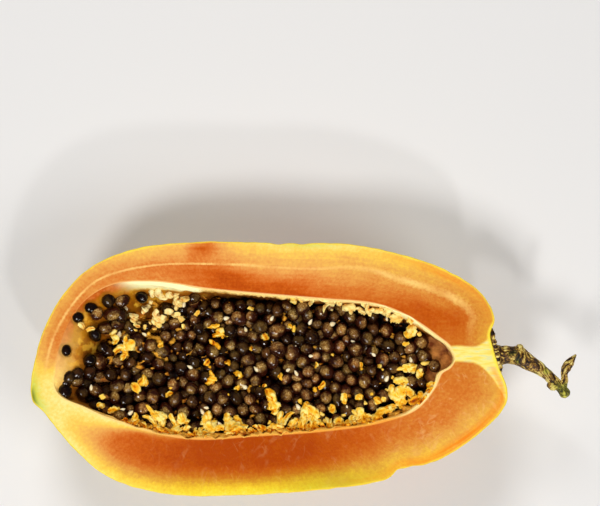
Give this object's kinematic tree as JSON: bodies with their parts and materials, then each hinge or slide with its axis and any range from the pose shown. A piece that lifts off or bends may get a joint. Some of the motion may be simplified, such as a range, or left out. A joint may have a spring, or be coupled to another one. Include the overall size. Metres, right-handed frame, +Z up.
{
  "type": "papaya half",
  "caption": "Lengthwise half of a ripe papaya, cut face up: orange flesh, thin yellow skin, an open hollow heaped with dark seeds, and a short dried stalk.",
  "frame": {"origin": "middle of the small flat spot under the half, on the surface that it rests on", "axes": "+X along the fruit towards the stalk, +Y across the cut face, +Z up, square to the cut face"},
  "size_m": [0.2243, 0.1046, 0.05],
  "materials": {
    "flesh": "moist orange flesh with a thin yellow skin",
    "seeds": "wet wrinkled dark brown seeds",
    "bark": "dry cracked bark"
  },
  "bodies": {
    "root": {"papaya_flesh": "flesh", "seed_heap": "seeds", "stalk": "bark"}
  },
  "joints": []
}
